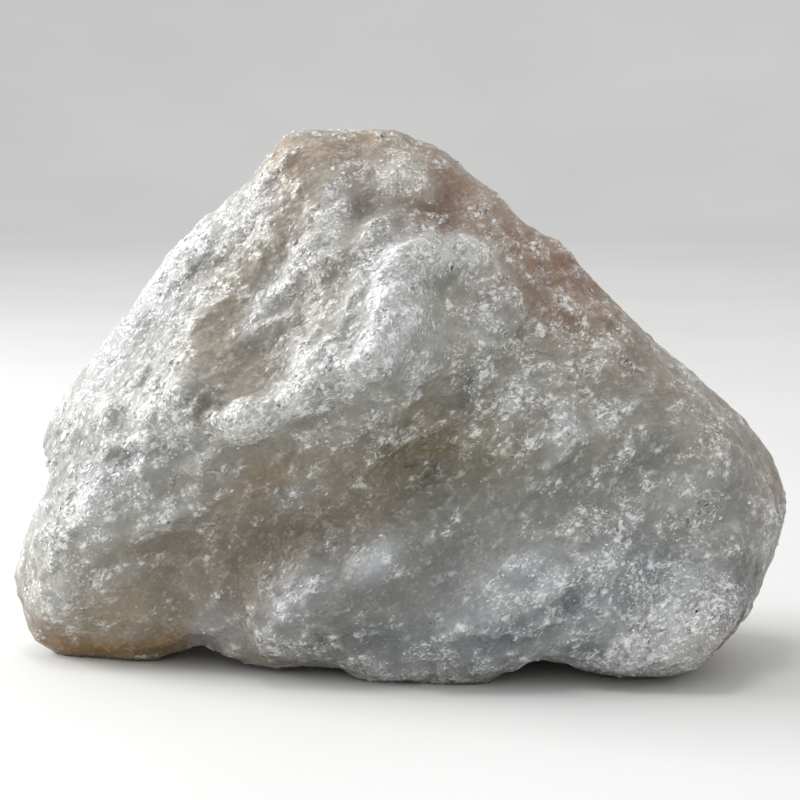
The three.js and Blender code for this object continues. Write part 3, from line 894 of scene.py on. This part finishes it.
class TALC_OT_skin(bpy.types.Operator):
    """Lays the broken skin over the solid stone"""

    bl_idname = "talc.skin"
    bl_label = "Broken skin"

    def execute(self, context):
        look = context.scene.talc_look
        places, quads = box_lattice(CELLS)
        far_out = HEART + lattice_directions(places, CELLS) * START_AWAY
        start = new_mesh("talc_skin", far_out, quads, True)
        points = shrunk_onto(start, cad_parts[NODE])
        missed = np.linalg.norm(points - HEART, axis=1) > MISSED_AWAY
        if missed.mean() > MISSED_SHARE:
            raise RuntimeError(f"{missed.sum()} points of the skin missed the solid")
        on_ground = points[:, 2] < FOOT_BAND
        points = eased(points, quads, FACET_ROUNDS)

        laid = along_lineation(points, look.lineation, look.grain_stretch)
        normals = point_normals(points, quads)
        behind = smoothstep(*SEAM, points[:, 1])
        shares = patch_shares(points) * (1 - behind)
        frost = skin_frost(points, laid, shares, behind)
        tint = skin_tint(look, points, shares, behind)
        rise = skin_rise(look, points, laid, normals, frost, shares)
        points += normals * rise[:, None]
        points[:, 2] = np.where(on_ground, 0.0, np.maximum(points[:, 2], 0.0))

        # How deep each point lies in a hollow a few millimetres wide, positive in the hollow.
        # Hollows keep a little less frost, and the power makes thin frost thinner.
        inwards = eased(points, quads, HOLLOW_ROUNDS) - points
        hollow = np.sum(inwards * point_normals(points, quads), axis=1)
        frost = np.clip(frost - 0.25 * hollow, 0, 1.6) ** 1.5

        mesh = start.data
        mesh.vertices.foreach_set("co", (points * MM).astype(np.float32).ravel())
        mesh.update()
        for name, values in (("tint", tint), ("frost", frost), ("hollow", hollow)):
            store(mesh, name, values)
        mesh.materials.append(talc_body_material(look))
        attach(start, "root")
        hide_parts(NODE)
        return {"FINISHED"}


class TALC_OT_grains(bpy.types.Operator):
    """Sets sugary crystals of talc half into the skin, closest where it is frosted"""

    bl_idname = "talc.grains"
    bl_label = "Sugary crystals"

    def execute(self, context):
        look = context.scene.talc_look
        skin = bpy.data.objects["talc_skin"].data
        points, quads = points_of(skin), quads_of(skin)
        normals = point_normals(points, quads)
        frost, tint = kept(skin, "frost", False), kept(skin, "tint", True)
        rng = np.random.default_rng(look.seed)

        # Quads are drawn by their area and the fourth power of their frost, with a few where
        # there is none, and a place in each quad by its two shares.
        frosted = 0.002 + np.minimum(frost[quads].mean(1), 0.9) ** 4
        crowded = np.linalg.norm(face_cross(points, quads), axis=1) * frosted
        crowded[points[quads][:, :, 2].max(1) < CRYSTAL_FREE] = 0
        in_front = points[quads].mean(1)[:, 1] <= 0
        n = look.crystal_count
        for name, here in (("talc_grains_front", in_front), ("talc_grains_back", ~in_front)):
            weight = crowded * here
            chosen = quads[rng.choice(len(quads), n, p=weight / weight.sum())]
            u, v = rng.random((2, n))
            shares = np.stack([(1 - u) * (1 - v), u * (1 - v), u * v, (1 - u) * v], -1)
            at, up, colour = (
                (values[chosen] * shares[..., None]).sum(1) for values in (points, normals, tint)
            )
            axes = frames_on(up, look.lineation, rng)
            body, faces = crystal_bodies(at, axes, look.crystal_length / MM, rng)
            made = new_mesh(name, body, faces, False)
            each = len(CRYSTAL_POINTS)
            # Each crystal takes the tint of the skin where it stands, painted shade and light
            # included.
            store(made.data, "tint", np.repeat(colour, each, axis=0))
            store(made.data, "clear", np.repeat(rng.random(n), each))
            made.data.materials.append(talc_crystal_material(look))
            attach(made, "root")
        return {"FINISHED"}


class TALC_OT_studio(bpy.types.Operator):
    """Sets up the pale floor, the soft lights and the camera"""

    bl_idname = "talc.studio"
    bl_label = "Studio"

    def execute(self, context):
        studio = context.scene.talc_studio
        scene = context.scene

        # The floor is a wide dish, turned about Z: level, and then a quarter circle up. Its
        # sizes, and the places and sizes of the lights, are in metres.
        level, bend_radius = 0.9, 0.5
        turn = np.linspace(0, 2 * math.pi, 96, endpoint=False)
        bend = np.linspace(0, math.pi / 2, 24)
        away = np.concatenate([[0.0, 0.1, 0.3, 0.6], level + bend_radius * np.sin(bend)])
        high = np.concatenate([[0, 0, 0, 0], bend_radius - bend_radius * np.cos(bend)])
        away, high = away[:, None], high[:, None]
        ring = np.stack(np.broadcast_arrays(away * np.cos(turn), away * np.sin(turn), high), -1)
        grid = np.arange(ring[..., 0].size).reshape(ring.shape[:2])
        turned = np.roll(grid, -1, axis=1)
        quads = np.stack([grid[:-1], grid[1:], turned[1:], turned[:-1]], -1).reshape(-1, 4)
        floor = new_mesh("studio_floor", ring.reshape(-1, 3) / MM, quads, True)
        floor.data.materials.append(studio_board_material(studio.floor_colour))

        # A large soft light high at the left, and a small one overhead.
        aim = Vector((0, 0, studio.camera_aim))
        for name, where, size, power, colour in (
            ("key_light", (-0.50, 0.08, 0.26), (0.30, 0.34), studio.key_watts, "#fbfdff"),
            ("top_light", (-0.06, -0.14, 0.58), (0.16, 0.16), studio.top_watts, "#ffffff"),
        ):
            lamp = bpy.data.lights.new(name, "AREA")
            lamp.shape = "RECTANGLE"
            lamp.size, lamp.size_y = size
            lamp.energy = power
            lamp.color = linear(colour)
            made = bpy.data.objects.new(name, lamp)
            scene.collection.objects.link(made)
            made.location = where
            made.rotation_mode = "QUATERNION"
            made.rotation_quaternion = (aim - made.location).to_track_quat("-Z", "Y")
        scene.world = bpy.data.worlds.new("room")
        scene.world.use_nodes = True
        feed(scene.world.node_tree, scene.world.node_tree.nodes["Background"], {
            "Color": (*linear("#f4f6f9"), 1), "Strength": studio.sky,
        })
        scene.view_settings.view_transform = "Standard"

        camera = bpy.data.objects.new("camera", bpy.data.cameras.new("camera"))
        scene.collection.objects.link(camera)
        scene.camera = camera
        camera.data.lens = 100
        camera.data.sensor_width = 36
        camera.data.clip_start = 0.01
        back = Vector((0, -math.cos(studio.camera_up), math.sin(studio.camera_up)))
        camera.location = aim + back * studio.camera_away
        camera.rotation_mode = "QUATERNION"
        camera.rotation_quaternion = (-back).to_track_quat("-Z", "Y")
        return {"FINISHED"}


class TALC_PT_panel(bpy.types.Panel):
    bl_idname = "TALC_PT_panel"
    bl_label = "Talc Rock"
    bl_space_type = "VIEW_3D"
    bl_region_type = "UI"
    bl_category = "Talc Rock"

    def draw(self, context):
        for group in (context.scene.talc_look, context.scene.talc_studio):
            box = self.layout.box()
            for name in group.__annotations__:
                box.prop(group, name)
        for operator in STEPS:
            self.layout.operator(operator.bl_idname)


STEPS = (TALC_OT_skin, TALC_OT_grains, TALC_OT_studio)
CLASSES = (TALC_PG_look, TALC_PG_studio, *STEPS, TALC_PT_panel)


def register():
    for cls in CLASSES:
        bpy.utils.register_class(cls)
    bpy.types.Scene.talc_look = bpy.props.PointerProperty(type=TALC_PG_look)
    bpy.types.Scene.talc_studio = bpy.props.PointerProperty(type=TALC_PG_studio)


def unregister():
    del bpy.types.Scene.talc_studio
    del bpy.types.Scene.talc_look
    for cls in reversed(CLASSES):
        bpy.utils.unregister_class(cls)


def main():
    """Makes every piece in order."""
    register()
    bpy.ops.talc.skin()
    bpy.ops.talc.grains()
    bpy.ops.talc.studio()


if __name__ == "__main__":
    main()
